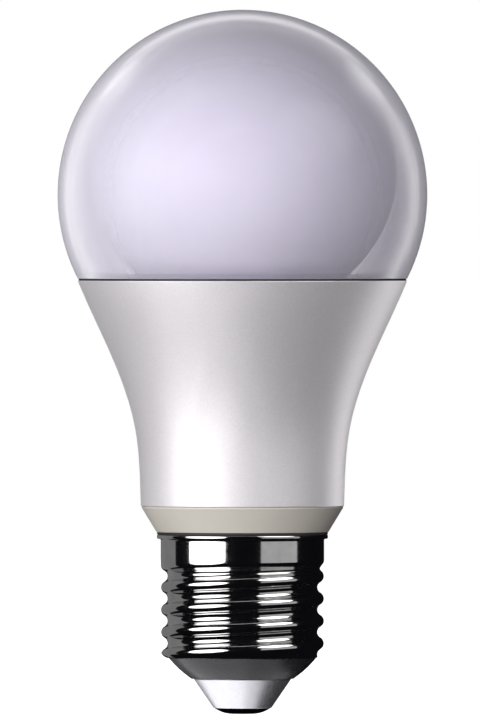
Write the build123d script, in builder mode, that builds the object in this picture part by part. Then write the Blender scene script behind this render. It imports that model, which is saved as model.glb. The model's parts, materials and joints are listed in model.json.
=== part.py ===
"""Smart LED light bulb: an A60 globe on an E27 screw cap, as separate pieces.

Frame: millimetres, +Z up along the lamp's axis, origin at the nose of the centre contact, so the screw
cap is at the bottom and the globe at the top. The driver board stands in the X-Z plane, with its
tall parts on the -Y side. Heights are worked out from the nose up, radii from the outside in.
"""

import os
from math import acos, asin, ceil, cos, degrees, pi, radians, sin, sqrt

from build123d import *

# ---------------------------------------------------------------- the outside
GLOBE_RADIUS = 30.0  # A60: 60 mm across
GLOBE_WALL = 1.6
SEAM_ANGLE = 27.0  # how far below the globe's equator it is cut, in degrees
SEAL_HEIGHT = 0.3
SEAL_INSET = 0.15

HOUSING_HEIGHT = 36.6
HOUSING_NECK_RADIUS = 16.5
HOUSING_WALL = 1.6  # measured across the axis
NECK_POINT = (0.103, 0.363)  # two points of the outline, as shares of the flare's width and height
FLARE_POINT = (0.517, 0.699)
NECK_SLOPE = (0.03, 1.0)
RIM_SLOPE = (0.40, 1.0)

COLLAR_HEIGHT = 4.2
COLLAR_STEP = 0.08  # of its foot beyond the cap's flange
COLLAR_WALL = 1.2
COLLAR_SPIGOT_UP = 4.0  # into the housing
COLLAR_SPIGOT_DOWN = 15.5  # into the screw shell
GASKET_HEIGHT = 0.4

# ---------------------------------------------------------------- E27 screw cap
THREAD_PITCH = 3.629
THREAD_CREST_RADIUS = 13.2
THREAD_DEPTH = 1.05
RIDGE_WIDTH = 2.6  # of the thread's ridge where it leaves the shell
RIDGE_BITE = 0.15  # how deep the ridge is rooted in the shell's wall
THREAD_RUN_IN = 1.3  # how far below the shell's edge the ridge starts
THREAD_LENGTH = 14.7
SHELL_WALL = 0.35
SKIRT_STEP = 0.05  # of the skirt beyond the thread's crests
SKIRT_LENGTH = 4.6
SKIRT_SHOULDER = 1.0
FLANGE_HEIGHT = 0.7
FLANGE_STEP = 0.62  # beyond the skirt

INSULATOR_HEIGHT = 3.4  # the black cone between shell and contact
INSULATOR_TAPER = 3.85  # how much narrower it is at its foot, in radius
INSULATOR_PLUG_HEIGHT = 2.4  # inside the shell
INSULATOR_DISH = 1.6
CONTACT_HEIGHT = 4.75
CONTACT_INSET = 0.35  # of its top inside the insulator's foot
CONTACT_TAPER = 3.25
CONTACT_WALL = 0.45
NAIL_HEAD_HEIGHT = 0.95
NAIL_HEAD_INSET = 0.1  # inside the contact's foot
NAIL_NOSE_RADIUS = 1.6  # the flat that meets the lampholder's spring
NAIL_SHANK_RADIUS = 1.15
NAIL_TIP = 0.6  # above the insulator's dish

# ---------------------------------------------------------------- fits
FIT = 0.1  # between pieces pushed together
CLEAR = 0.3  # between pieces that only pass each other

# ---------------------------------------------------------------- globe joint and inner diffuser
SPIGOT_DEPTH = 1.8
SPIGOT_WALL = 1.2
SPIGOT_BLEND = 0.8
SNAP_BELOW_SEAM = 1.1
SNAP_HALF_HEIGHT = 0.3
SNAP_DEPTH = 0.3
DOME_SIDE_GAP = 3.4  # between the diffuser and the globe at its widest
DOME_TOP_GAP = 1.4
DOME_LIFT = 3.8  # of the diffuser's widest level above the globe's
DOME_WALL = 1.0
DOME_FOOT_THICKNESS = 1.2
DOME_FOOT_WIDTH = 1.2
DOME_EAR_RADIUS = 2.9
DOME_SPANS = 6  # spans of the curve from neck to crown

# ---------------------------------------------------------------- heat sink and LED board
BOARD_BELOW_SEAM = 2.0
LED_BOARD_THICKNESS = 1.2
PAD_THICKNESS = 0.3
PAD_INSET = 0.6
HEAT_SINK_PLATE = 1.5
HEAT_SINK_WALL = 1.0
HEAT_SINK_ABOVE_NECK = 5.0
SCREW_COUNT = 3
SCREW_ANGLE = 60.0
SCREW_RADIUS = 1.25
SCREW_HEAD_RADIUS = 2.3
SCREW_LENGTH = 5.0
SCREW_SLOT_WIDTH = 0.5
SCREW_SLOT_DEPTH = 0.5
WHITE_LED_COUNT = 12
COLOUR_LED_ANGLES = (0, 90, 180, 230, 270, 310)
LED_FROM_DOME = 0.5
LED_RING_GAP = 0.7
LED_LENGTH = 3.5
LED_WIDTH = 2.8
LED_HEIGHT = 0.7
LED_RIM = 0.35
LED_POCKET = 0.4
LENS_RADIUS = 1.0

# ---------------------------------------------------------------- driver sleeve and driver board
SLEEVE_WALL = 0.9
SLEEVE_FLOOR = 0.8  # of the collar under the sleeve
SLEEVE_TOP_GAP = 1.5
RAIL_WIDTH = 0.9
RAIL_DEPTH = 1.1
RAIL_ROOT = 0.3  # into the sleeve's wall
BOARD_THICKNESS = 1.2
BOARD_TAIL_LENGTH = 16.0  # the narrow end, down in the cap
BOARD_TOP_GAP = 2.0

# ---------------------------------------------------------------- parts on the driver board
LEG_RADIUS = 0.3
LEG_BEND = 0.7
BULK_RADIUS = 4.0
BULK_LENGTH = 12.0
BULK_FROM_TAIL = 3.2
BULK_LEG_ACROSS = 2.0
OUTPUT_RADIUS = 2.5
OUTPUT_LENGTH = 7.0
OUTPUT_ACROSS = -5.5
CAN_ROUNDING = 0.6
DISC_RADIUS = 2.7
DISC_THICKNESS = 2.4
DISC_ACROSS = 4.5
DISC_LEG_ACROSS = 1.4
DISC_ROUNDING = 0.6
TRANSFORMER_HEIGHT = 9.6
TRANSFORMER_WIDTH = 12.4
TRANSFORMER_DEPTH = 4.0
TRANSFORMER_STANDOFF = 0.8
TRANSFORMER_PIN_ACROSS = 3.0
CORE_YOKE = 1.6
CORE_LEG_WIDTH = 2.8
BOBBIN_WALL = 0.6
BOBBIN_WIDTH = 9.0
BOBBIN_DEPTH = 7.2
WINDING_WIDTH = 8.2
WINDING_DEPTH = 6.6
CHOKE_RADIUS = 3.25
CHOKE_LENGTH = 8.0
CHOKE_FLANGE = 1.0
CHOKE_NECK_RADIUS = 1.4
CHOKE_WINDING_RADIUS = 2.9
CHOKE_ACROSS = 3.5
RESISTOR_RADIUS = 1.4
RESISTOR_LENGTH = 8.5
RESISTOR_ACROSS = -6.0
RESISTOR_ROUNDING = 0.45
TAIL_ROW_FROM_TAIL = 7.0
FILM_WIDTH = 10.0
FILM_DEPTH = 4.5
FILM_HEIGHT = 8.5
FILM_FROM_STEP = 1.2
FILM_ROUNDING = 0.75
CHIP_ROW_GAP = 0.7  # above the film capacitor
CHIP_ACROSS = 6.6
BRIDGE_SIZE = (3.8, 4.6, 2.4)  # width, height and depth, as for the next two
DRIVER_CHIP_SIZE = (3.8, 4.9, 1.5)
CHANNEL_CHIP_SIZE = (4.0, 5.0, 1.0)
BRIDGE_LEGS = 2  # on each side, as for the next two
DRIVER_CHIP_LEGS = 4
CHANNEL_CHIP_LEGS = 7
CHIP_LEG = 0.9
CHIP_LEG_THICKNESS = 0.2
PASSIVE_LENGTH = 2.0
PASSIVE_WIDTH = 1.25
PASSIVE_HEIGHT = 0.6
PASSIVE_COUNT = 3  # in each of two columns
PASSIVE_PITCH = 2.5
PASSIVE_FROM_FILM = 4.0

# ---------------------------------------------------------------- pins, connector and radio board
PIN_COUNT = 5
PIN_PITCH = 2.54
PIN_SIDE = 0.64
PIN_TAIL = 0.8
PIN_HOLE_RADIUS = 0.5
PIN_ROW_FROM_BOARD = 6.2
PIN_BELOW_TOP = 2.1
STRIP_SIDE = 2.5
CONNECTOR_HEIGHT = 3.2
CONNECTOR_DEPTH = 3.2
RADIO_PIN_COUNT = 6
RADIO_PIN_PITCH = 2.0
RADIO_PIN_UP = 1.0
RADIO_WIDTH = 14.0
RADIO_THICKNESS = 0.8
RADIO_STANDOFF = 2.2
RADIO_ABOVE_LEDS = 7.5
SHIELD_WIDTH = 10.5
SHIELD_DEPTH = 2.0
SHIELD_WALL = 0.2
SHIELD_MARGIN = 1.1
CHIP_SIDE = 5.0
CHIP_THICKNESS = 0.9
ANTENNA_THICKNESS = 0.12
ANTENNA_TRACE = 0.7
ANTENNA_FINGERS = 7
ANTENNA_HEIGHT = 4.5

# ---------------------------------------------------------------- leads
LEAD_RADIUS = 0.65
LEAD_BEND = 2.0
LIVE_ACROSS = 2.5
NEUTRAL_ACROSS = -6.0
LEAD_DROP = 5.6  # from the board's tail to the lowest run of a lead
NEUTRAL_RISE = 7.5

# ---------------------------------------------------------------- heights
contact_top_z = NAIL_HEAD_HEIGHT + CONTACT_HEIGHT
shell_foot_z = contact_top_z + INSULATOR_HEIGHT
skirt_foot_z = shell_foot_z + THREAD_LENGTH
flange_foot_z = skirt_foot_z + SKIRT_LENGTH
flange_top_z = flange_foot_z + FLANGE_HEIGHT
collar_foot_z = flange_top_z + GASKET_HEIGHT
neck_z = collar_foot_z + COLLAR_HEIGHT
rim_z = neck_z + HOUSING_HEIGHT
seam_z = rim_z + SEAL_HEIGHT
globe_centre_z = seam_z + GLOBE_RADIUS * sin(radians(SEAM_ANGLE))
led_board_z = seam_z - BOARD_BELOW_SEAM  # its upper face, as with the next two
pad_z = led_board_z - LED_BOARD_THICKNESS
plate_z = pad_z - PAD_THICKNESS
plate_foot_z = plate_z - HEAT_SINK_PLATE
sleeve_foot_z = neck_z + SLEEVE_FLOOR
sleeve_top_z = plate_foot_z - SLEEVE_TOP_GAP
board_step_z = sleeve_foot_z + CLEAR
board_foot_z = board_step_z - BOARD_TAIL_LENGTH
board_top_z = sleeve_top_z - BOARD_TOP_GAP
spigot_foot_z = collar_foot_z - COLLAR_SPIGOT_DOWN
insulator_top_z = shell_foot_z + INSULATOR_PLUG_HEIGHT
dish_z = insulator_top_z - INSULATOR_DISH
nail_tip_z = dish_z + NAIL_TIP
radio_top_z = led_board_z + RADIO_ABOVE_LEDS
pin_z = board_top_z - PIN_BELOW_TOP

# up the driver board: small capacitors, transformer, radio pins, header, with even gaps between
row_heights = 2 * DISC_RADIUS + TRANSFORMER_HEIGHT + RADIO_PIN_PITCH
row_gap = (pin_z - STRIP_SIDE / 2 - board_step_z - row_heights) / 4
small_row_z = board_step_z + row_gap + DISC_RADIUS
transformer_foot_z = small_row_z + DISC_RADIUS + row_gap
transformer_top_z = transformer_foot_z + TRANSFORMER_HEIGHT
radio_pin_z = transformer_top_z + row_gap + RADIO_PIN_PITCH / 2
radio_foot_z = radio_pin_z - RADIO_PIN_UP
film_foot_z = board_step_z + FILM_FROM_STEP
film_top_z = film_foot_z + FILM_HEIGHT
chip_row_z = film_top_z + CHIP_ROW_GAP + CHANNEL_CHIP_SIZE[1] / 2

# ---------------------------------------------------------------- radii
seam_radius = GLOBE_RADIUS * cos(radians(SEAM_ANGLE))
bore_radius = GLOBE_RADIUS - GLOBE_WALL
rabbet_radius = seam_radius - HOUSING_WALL + FIT
spigot_radius = rabbet_radius - FIT
neck_bore_radius = HOUSING_NECK_RADIUS - HOUSING_WALL
sleeve_radius = neck_bore_radius - HEAT_SINK_WALL - CLEAR - 2 * FIT
sleeve_bore_radius = sleeve_radius - SLEEVE_WALL
thread_root_radius = THREAD_CREST_RADIUS - THREAD_DEPTH
skirt_radius = THREAD_CREST_RADIUS + SKIRT_STEP
flange_radius = skirt_radius + FLANGE_STEP
collar_foot_radius = flange_radius + COLLAR_STEP
insulator_foot_radius = thread_root_radius - INSULATOR_TAPER
contact_top_radius = insulator_foot_radius - CONTACT_INSET
contact_foot_radius = contact_top_radius - CONTACT_TAPER
nail_head_radius = contact_foot_radius - NAIL_HEAD_INSET
skirt_bore_radius = skirt_radius - SHELL_WALL
shell_bore_radius = thread_root_radius - SHELL_WALL
cap_spigot_radius = shell_bore_radius - FIT
cap_spigot_bore = cap_spigot_radius - COLLAR_WALL
insulator_bore_radius = NAIL_SHANK_RADIUS + FIT
flare = seam_radius - HOUSING_NECK_RADIUS
rim_lean = (1 - FLARE_POINT[0]) / (1 - FLARE_POINT[1]) * flare / HOUSING_HEIGHT
led_board_radius = rabbet_radius - rim_lean * (rim_z - pad_z) - CLEAR
dome_centre_z = globe_centre_z + DOME_LIFT
dome_radius = bore_radius - DOME_SIDE_GAP
dome_half_height = bore_radius - DOME_TOP_GAP - DOME_LIFT
dome_neck_radius = dome_radius * sqrt(1 - ((dome_centre_z - seam_z) / dome_half_height) ** 2)
screw_circle = dome_neck_radius + SCREW_HEAD_RADIUS + 2 * FIT
white_led_circle = dome_neck_radius - DOME_WALL - LED_FROM_DOME - LED_WIDTH / 2
colour_led_circle = white_led_circle - LED_WIDTH - LED_RING_GAP

# ---------------------------------------------------------------- across the driver board
board_back_y = BOARD_THICKNESS / 2
board_front_y = -board_back_y
board_head_half = sleeve_bore_radius - CLEAR
board_tail_half = min(cap_spigot_bore, sleeve_bore_radius) - 2 * CLEAR
radio_back_y = board_front_y - RADIO_STANDOFF
radio_front_y = radio_back_y - RADIO_THICKNESS
pin_row_y = board_back_y + PIN_ROW_FROM_BOARD
connector_half = PIN_COUNT * PIN_PITCH / 2


def polar(radius, angle, z):
    """A point at a radius, an angle in degrees and a height."""
    return (radius * cos(radians(angle)), radius * sin(radians(angle)), z)


def row(count, pitch):
    """Places along X, spaced by the pitch and centred on the axis."""
    return [(n - (count - 1) / 2) * pitch for n in range(count)]


def lathe(*outline, mode=Mode.ADD):
    """Turns a closed outline of (radius, height) points about the lamp's axis."""
    with BuildSketch(Plane.XZ) as half:
        with BuildLine():
            Polyline(*outline, close=True)
        make_face()
    revolve(half.sketch, axis=Axis.Z, mode=mode)


def ring(inner, outer, low_z, high_z, mode=Mode.ADD):
    """A plain ring between two radii and two heights."""
    lathe((inner, low_z), (outer, low_z), (outer, high_z), (inner, high_z), mode=mode)


def block(x_range, y_range, z_range, mode=Mode.ADD):
    """A box given by its lowest and highest x, y and z."""
    ranges = (x_range, y_range, z_range)
    with Locations(tuple((low + high) / 2 for low, high in ranges)):
        Box(*(high - low for low, high in ranges), mode=mode)


def slot(half_width, middle_y, half_depth, low_z, high_z):
    """Cuts a straight slot through a level plate."""
    block(
        (-half_width, half_width),
        (middle_y - half_depth, middle_y + half_depth),
        (low_z, high_z),
        mode=Mode.SUBTRACT,
    )


def trumpet(inset, low_z, high_z, mode=Mode.ADD):
    """The solid inside the housing's outline, drawn in by inset, between two heights."""
    outline = [
        (HOUSING_NECK_RADIUS + share[0] * flare - inset, neck_z + share[1] * HOUSING_HEIGHT)
        for share in ((0, 0), NECK_POINT, FLARE_POINT, (1, 1))
    ]
    with BuildSketch(Plane.XZ) as half:
        with BuildLine():
            Spline(*outline, tangents=[NECK_SLOPE, RIM_SLOPE])
            Polyline(outline[-1], (0, rim_z), (0, neck_z), outline[0])
        make_face()
        with Locations((0, low_z)):
            Rectangle(
                2 * seam_radius, high_z - low_z, align=(Align.MIN, Align.MIN), mode=Mode.INTERSECT
            )
    revolve(half.sketch, axis=Axis.Z, mode=mode)


def board_slots(low_z, high_z):
    """The two slots that the heat sink, its pad and the LED board share."""
    radio_middle_y = (radio_back_y + radio_front_y) / 2
    slot(RADIO_WIDTH / 2 + CLEAR, radio_middle_y, RADIO_THICKNESS / 2 + CLEAR, low_z, high_z)
    slot(connector_half, pin_row_y, PIN_SIDE / 2 + CLEAR, low_z, high_z)


def screw_places(z):
    """Where the three screws stand, at one height."""
    return [polar(screw_circle, SCREW_ANGLE + 360 / SCREW_COUNT * n, z) for n in range(SCREW_COUNT)]


def screw_holes(radius, low_z, high_z):
    """Cuts the three screw holes through a level plate."""
    with BuildSketch(Plane.XY.offset(low_z)) as holes:
        with Locations(*screw_places(0)):
            Circle(radius)
    extrude(holes.sketch, amount=high_z - low_z, mode=Mode.SUBTRACT)


def pin_holes(places, z, low_y, high_y):
    """Cuts round holes along Y through an upright board."""
    with BuildSketch(Plane.XZ.offset(-high_y)) as holes:
        with Locations(*((x, z) for x in places)):
            Circle(PIN_HOLE_RADIUS)
    extrude(holes.sketch, amount=high_y - low_y, mode=Mode.SUBTRACT)


def wire(points, radius, bend):
    """A round wire along a route, with the same bend at every corner."""
    with BuildLine() as route:
        FilletPolyline(*points, radius=[bend] * (len(points) - 2))
    with BuildSketch(Plane(origin=route.line @ 0, z_dir=route.line % 0)) as section:
        Circle(radius)
    sweep(section.sketch, path=route.line)


# ================================================================ globe, its seal and the housing
with BuildPart() as outer_globe:
    blend_angle = degrees(asin((globe_centre_z - seam_z - SPIGOT_BLEND) / bore_radius))
    spigot_bore = spigot_radius - SPIGOT_WALL
    snap_z = seam_z - SNAP_BELOW_SEAM
    with BuildSketch(Plane.XZ):
        with BuildLine():
            outside = CenterArc((0, globe_centre_z), GLOBE_RADIUS, -SEAM_ANGLE, 90 + SEAM_ANGLE)
            inside = CenterArc((0, globe_centre_z), bore_radius, -blend_angle, 90 + blend_angle)
            Line(outside @ 1, inside @ 1)
            Polyline(
                inside @ 0,
                (spigot_bore, seam_z),
                (spigot_bore, seam_z - SPIGOT_DEPTH),
                (spigot_radius, seam_z - SPIGOT_DEPTH),
                (spigot_radius, snap_z - SNAP_HALF_HEIGHT),
                (spigot_radius + SNAP_DEPTH, snap_z),
                (spigot_radius, snap_z + SNAP_HALF_HEIGHT),
                (spigot_radius, seam_z),
                outside @ 0,
            )
        make_face()
    revolve(axis=Axis.Z)
outer_globe.part.label = "outer_globe"

with BuildPart() as globe_seal:
    ring(spigot_radius + FIT, seam_radius - SEAL_INSET, rim_z, seam_z)
globe_seal.part.label = "globe_seal"

with BuildPart() as housing:
    groove_half = SNAP_HALF_HEIGHT + FIT
    trumpet(0, neck_z, rim_z)
    trumpet(HOUSING_WALL, neck_z, rim_z, mode=Mode.SUBTRACT)
    ring(0, rabbet_radius, led_board_z, seam_z, mode=Mode.SUBTRACT)
    lathe(
        (spigot_radius, snap_z - groove_half),
        (rabbet_radius, snap_z - groove_half),
        (rabbet_radius + SNAP_DEPTH, snap_z),
        (rabbet_radius, snap_z + groove_half),
        (spigot_radius, snap_z + groove_half),
        mode=Mode.SUBTRACT,
    )
housing.part.label = "housing"

# ================================================================ inner diffuser and its screws


def dome_curve(shrink):
    """The diffuser's elliptical outline from its neck to its crown, drawn in by shrink."""
    across = dome_radius - shrink
    up = dome_half_height - shrink
    neck_angle = -acos((dome_neck_radius - shrink) / across)
    angles = [neck_angle + (pi / 2 - neck_angle) * n / DOME_SPANS for n in range(DOME_SPANS + 1)]
    points = [(across * cos(turn), dome_centre_z + up * sin(turn)) for turn in angles]
    return Spline(*points, tangents=[(-across * sin(neck_angle), up * cos(neck_angle)), (-1, 0)])


with BuildPart() as inner_diffuser:
    dome_foot_radius = dome_neck_radius + DOME_FOOT_WIDTH
    dome_foot_top_z = led_board_z + DOME_FOOT_THICKNESS
    inner_neck_radius = dome_neck_radius - DOME_WALL
    with BuildSketch(Plane.XZ):
        with BuildLine():
            outside = dome_curve(0)
            inside = dome_curve(DOME_WALL)
            Line(outside @ 1, inside @ 1)
            Polyline(
                inside @ 0,
                (inner_neck_radius, led_board_z),
                (dome_foot_radius, led_board_z),
                (dome_foot_radius, dome_foot_top_z),
                (dome_neck_radius, dome_foot_top_z),
                outside @ 0,
            )
        make_face()
    revolve(axis=Axis.Z)
    with BuildSketch(Plane.XY.offset(led_board_z)):
        with Locations(*screw_places(0)):
            Circle(DOME_EAR_RADIUS)
        Circle(dome_neck_radius - DOME_WALL / 2, mode=Mode.SUBTRACT)
    extrude(amount=DOME_FOOT_THICKNESS)
    screw_holes(SCREW_RADIUS + FIT, led_board_z, led_board_z + DOME_FOOT_THICKNESS)
    with Locations(*screw_places(led_board_z + DOME_FOOT_THICKNESS)):
        Cone(
            SCREW_RADIUS + FIT,
            SCREW_HEAD_RADIUS + FIT,
            SCREW_HEAD_RADIUS - SCREW_RADIUS,
            align=(Align.CENTER, Align.CENTER, Align.MAX),
            mode=Mode.SUBTRACT,
        )
inner_diffuser.part.label = "inner_diffuser"

with BuildPart() as board_screws:
    head_z = led_board_z + DOME_FOOT_THICKNESS
    cone = SCREW_HEAD_RADIUS - SCREW_RADIUS
    for place in screw_places(0):
        with BuildSketch(Plane(origin=place, x_dir=(1, 0, 0), z_dir=(0, -1, 0))):
            with BuildLine():
                Polyline(
                    (0, head_z),
                    (SCREW_HEAD_RADIUS, head_z),
                    (SCREW_RADIUS, head_z - cone),
                    (SCREW_RADIUS, head_z - SCREW_LENGTH),
                    (0, head_z - SCREW_LENGTH),
                    close=True,
                )
            make_face()
        revolve(axis=Axis(place, (0, 0, 1)))
        x, y, _ = place
        block(
            (x - SCREW_HEAD_RADIUS, x + SCREW_HEAD_RADIUS),
            (y - SCREW_SLOT_WIDTH / 2, y + SCREW_SLOT_WIDTH / 2),
            (head_z - SCREW_SLOT_DEPTH, head_z + CLEAR),
            mode=Mode.SUBTRACT,
        )
board_screws.part.label = "board_screws"

# ================================================================ heat sink, pad and LED board
with BuildPart() as heat_sink:
    gap = HOUSING_WALL + FIT
    foot_z = neck_z + HEAT_SINK_ABOVE_NECK
    trumpet(gap, foot_z, plate_z)
    trumpet(gap + HEAT_SINK_WALL, foot_z, plate_foot_z, mode=Mode.SUBTRACT)
    board_slots(plate_foot_z, plate_z)
    screw_holes(SCREW_RADIUS, plate_foot_z, plate_z)
heat_sink.part.label = "heat_sink"

with BuildPart() as thermal_pad:
    ring(0, led_board_radius - PAD_INSET, plate_z, pad_z)
    board_slots(plate_z, pad_z)
    screw_holes(SCREW_RADIUS + CLEAR, plate_z, pad_z)
thermal_pad.part.label = "thermal_pad"

with BuildPart() as led_board:
    ring(0, led_board_radius, pad_z, led_board_z)
    board_slots(pad_z, led_board_z)
    screw_holes(SCREW_RADIUS + FIT, pad_z, led_board_z)
led_board.part.label = "led_board"


def led_places(radius, angles):
    """Places on the LED board, each turned to face along its radius."""
    return [Location(polar(radius, angle, led_board_z), (0, 0, angle)) for angle in angles]


def led_boxes(places, inset, low, high, mode=Mode.ADD):
    """LED-sized boxes on the board, drawn in by inset, between two heights above it."""
    with Locations(*(place * Pos(0, 0, low) for place in places)):
        Box(
            LED_WIDTH - 2 * inset,
            LED_LENGTH - 2 * inset,
            high - low,
            align=(Align.CENTER, Align.CENTER, Align.MIN),
            mode=mode,
        )


def led_lenses(places, low, high, mode=Mode.ADD):
    """Round lenses on the LEDs, between two heights above the board."""
    with Locations(*(place * Pos(0, 0, low) for place in places)):
        Cylinder(LENS_RADIUS, high - low, align=(Align.CENTER, Align.CENTER, Align.MIN), mode=mode)


pocket_floor = LED_HEIGHT - LED_POCKET
white_led_angles = [360 / WHITE_LED_COUNT * (n + 0.5) for n in range(WHITE_LED_COUNT)]
white_places = led_places(white_led_circle, white_led_angles)
colour_places = led_places(colour_led_circle, COLOUR_LED_ANGLES)

with BuildPart() as white_led_packages:
    led_boxes(white_places, 0, 0, LED_HEIGHT)
    led_boxes(white_places, LED_RIM, pocket_floor, LED_HEIGHT, mode=Mode.SUBTRACT)
white_led_packages.part.label = "white_led_packages"

with BuildPart() as white_led_phosphors:
    led_boxes(white_places, LED_RIM, pocket_floor, LED_HEIGHT)
white_led_phosphors.part.label = "white_led_phosphors"

with BuildPart() as colour_led_packages:
    led_boxes(colour_places, 0, 0, LED_HEIGHT)
    led_lenses(colour_places, pocket_floor, LED_HEIGHT, mode=Mode.SUBTRACT)
colour_led_packages.part.label = "colour_led_packages"

with BuildPart() as colour_led_lenses:
    led_lenses(colour_places, pocket_floor, LED_HEIGHT)
colour_led_lenses.part.label = "colour_led_lenses"

# ================================================================ screw cap
with BuildPart() as half_turn:
    with BuildLine() as ridge_route:
        Helix(THREAD_PITCH, THREAD_PITCH / 2, thread_root_radius)
    half_foot = RIDGE_WIDTH / 2
    half_root = half_foot - RIDGE_BITE
    section_plane = Plane(origin=ridge_route.line @ 0, x_dir=(1, 0, 0), z_dir=ridge_route.line % 0)
    with BuildSketch(section_plane):
        with BuildLine():
            foot = Polyline(
                (RIDGE_BITE, half_root),
                (-RIDGE_BITE, half_foot),
                (-RIDGE_BITE, -half_foot),
                (RIDGE_BITE, -half_root),
            )
            ThreePointArc(foot @ 1, (THREAD_DEPTH, 0), foot @ 0)
        make_face()
    sweep(path=ridge_route.line, is_frenet=True)

half_turn_count = ceil((THREAD_LENGTH + THREAD_RUN_IN) / (THREAD_PITCH / 2)) + 1
with BuildPart() as screw_shell:
    ring(shell_bore_radius, thread_root_radius, shell_foot_z, skirt_foot_z)
    ring(shell_bore_radius, skirt_radius, skirt_foot_z, flange_foot_z)
    for n in range(half_turn_count):
        rise = shell_foot_z - THREAD_RUN_IN + n * THREAD_PITCH / 2
        with Locations(Location((0, 0, rise), (0, 0, 180 * n))):
            add(half_turn.part)
    ring(0, flange_radius, 0, shell_foot_z, mode=Mode.SUBTRACT)
    ring(shell_bore_radius, flange_radius, flange_foot_z, flange_top_z)
    lathe(
        (0, skirt_foot_z),
        (shell_bore_radius, skirt_foot_z),
        (skirt_bore_radius, skirt_foot_z + SKIRT_SHOULDER),
        (skirt_bore_radius, flange_top_z),
        (0, flange_top_z),
        mode=Mode.SUBTRACT,
    )
screw_shell.part.label = "screw_shell"

with BuildPart() as cap_gasket:
    ring(skirt_bore_radius, flange_radius, flange_top_z, collar_foot_z)
cap_gasket.part.label = "cap_gasket"

with BuildPart() as cap_insulator:
    plug_radius = shell_bore_radius - FIT
    lathe(
        (insulator_bore_radius, contact_top_z),
        (insulator_foot_radius, contact_top_z),
        (thread_root_radius, shell_foot_z),
        (plug_radius, shell_foot_z),
        (plug_radius, insulator_top_z),
        (plug_radius - COLLAR_WALL, insulator_top_z),
        (plug_radius - COLLAR_WALL - INSULATOR_DISH, dish_z),
        (insulator_bore_radius, dish_z),
    )
cap_insulator.part.label = "cap_insulator"

with BuildPart() as contact_cup:
    lathe(
        (insulator_bore_radius, NAIL_HEAD_HEIGHT),
        (contact_foot_radius, NAIL_HEAD_HEIGHT),
        (contact_top_radius, contact_top_z),
        (contact_top_radius - CONTACT_WALL, contact_top_z),
        (contact_foot_radius - CONTACT_WALL, NAIL_HEAD_HEIGHT + CONTACT_WALL),
        (insulator_bore_radius, NAIL_HEAD_HEIGHT + CONTACT_WALL),
    )
contact_cup.part.label = "contact_cup"

with BuildPart() as contact_nail:
    with BuildSketch(Plane.XZ):
        with BuildLine():
            nose = Line((0, 0), (NAIL_NOSE_RADIUS, 0))
            head = TangentArc(nose @ 1, (nail_head_radius, NAIL_HEAD_HEIGHT), tangent=nose % 1)
            Polyline(
                head @ 1,
                (NAIL_SHANK_RADIUS, NAIL_HEAD_HEIGHT),
                (NAIL_SHANK_RADIUS, nail_tip_z),
                (0, nail_tip_z),
                nose @ 0,
            )
        make_face()
    revolve(axis=Axis.Z)
contact_nail.part.label = "contact_nail"

# ================================================================ collar and sleeve
with BuildPart() as base_collar:
    collar_spigot_radius = neck_bore_radius - FIT
    collar_spigot_top_z = neck_z + COLLAR_SPIGOT_UP
    lathe(
        (cap_spigot_bore, spigot_foot_z),
        (cap_spigot_radius, spigot_foot_z),
        (cap_spigot_radius, skirt_foot_z),
        (skirt_bore_radius - FIT, skirt_foot_z + SKIRT_SHOULDER + FIT),
        (skirt_bore_radius - FIT, collar_foot_z),
        (collar_foot_radius, collar_foot_z),
        (HOUSING_NECK_RADIUS, neck_z),
        (collar_spigot_radius, neck_z),
        (collar_spigot_radius, collar_spigot_top_z),
        (sleeve_radius + FIT, collar_spigot_top_z),
        (sleeve_radius + FIT, sleeve_foot_z),
        (cap_spigot_bore, sleeve_foot_z),
    )
    block(
        (-skirt_radius, -cap_spigot_bore + CLEAR),
        (-LEAD_RADIUS - FIT, LEAD_RADIUS + FIT),
        (spigot_foot_z, spigot_foot_z + NEUTRAL_RISE + CLEAR),
        mode=Mode.SUBTRACT,
    )
base_collar.part.label = "base_collar"

with BuildPart() as driver_sleeve:
    ring(sleeve_bore_radius, sleeve_radius, sleeve_foot_z, sleeve_top_z)
    rail_inner = sleeve_bore_radius - RAIL_DEPTH
    rail_outer = sleeve_bore_radius + RAIL_ROOT
    for side in (-1, 1):
        for face in (-1, 1):
            edge = face * (board_back_y + FIT)
            block(
                sorted((side * rail_inner, side * rail_outer)),
                sorted((edge, edge + face * RAIL_WIDTH)),
                (sleeve_foot_z, sleeve_top_z),
            )
driver_sleeve.part.label = "driver_sleeve"

# ================================================================ driver board and its parts
header_places = row(PIN_COUNT, PIN_PITCH)
radio_pin_places = row(RADIO_PIN_COUNT, RADIO_PIN_PITCH)
tail_row_z = board_foot_z + TAIL_ROW_FROM_TAIL

with BuildPart() as driver_board:
    faces = (board_front_y, board_back_y)
    block((-board_tail_half, board_tail_half), faces, (board_foot_z, board_step_z))
    block((-board_head_half, board_head_half), faces, (board_step_z, board_top_z))
    pin_holes(header_places, pin_z, *faces)
    pin_holes(radio_pin_places, radio_pin_z, *faces)
driver_board.part.label = "driver_board"

bulk_y = board_front_y - BULK_RADIUS - FIT
bulk_foot_z = board_foot_z + BULK_FROM_TAIL
with BuildPart() as bulk_capacitor:
    with BuildSketch(Plane.XY.offset(bulk_foot_z)):
        with Locations((0, bulk_y)):
            Circle(BULK_RADIUS)
    extrude(amount=BULK_LENGTH)
    fillet(bulk_capacitor.faces().sort_by(Axis.Z)[-1].edges(), CAN_ROUNDING)
bulk_capacitor.part.label = "bulk_capacitor"

with BuildPart() as capacitor_legs:
    leg_z = bulk_foot_z - BULK_FROM_TAIL / 2
    for x in (-BULK_LEG_ACROSS, BULK_LEG_ACROSS):
        route = ((x, bulk_y, bulk_foot_z), (x, bulk_y, leg_z), (x, board_front_y, leg_z))
        wire(route, LEG_RADIUS, LEG_BEND)
capacitor_legs.part.label = "capacitor_legs"

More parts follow.
